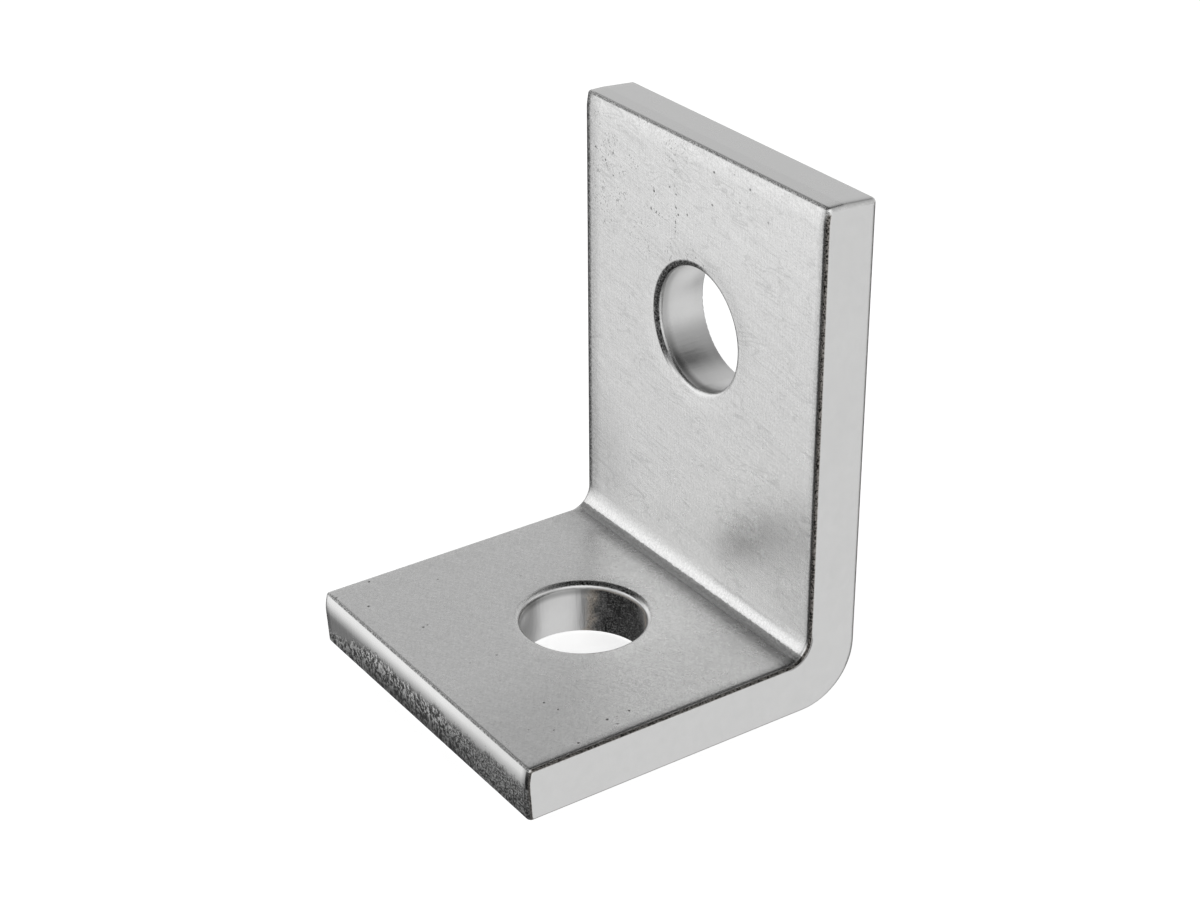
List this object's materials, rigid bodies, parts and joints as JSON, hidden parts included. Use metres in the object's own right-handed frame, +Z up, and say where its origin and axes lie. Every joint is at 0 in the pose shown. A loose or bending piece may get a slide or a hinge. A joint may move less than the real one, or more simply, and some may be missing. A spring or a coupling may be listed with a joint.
{
  "type": "strut angle fitting",
  "caption": "Right-angle strut fitting bent from flat steel bar, with a punched bolt hole in each leg, for joining channel or fixing it to a surface.",
  "frame": {"origin": "centre of the base leg on its seating face, 0.1 mm from the axis of its hole", "axes": "+X across the bar, -Y towards the base leg's sheared end, +Y towards the upright leg's outer face, +Z up along the upright leg"},
  "size_m": [0.0412, 0.0414, 0.0571],
  "materials": {
    "zinc_plated_steel": "satin bright zinc plating over rolled and sheared steel"
  },
  "bodies": {
    "root": {"angle_fitting": "zinc_plated_steel"}
  },
  "joints": []
}
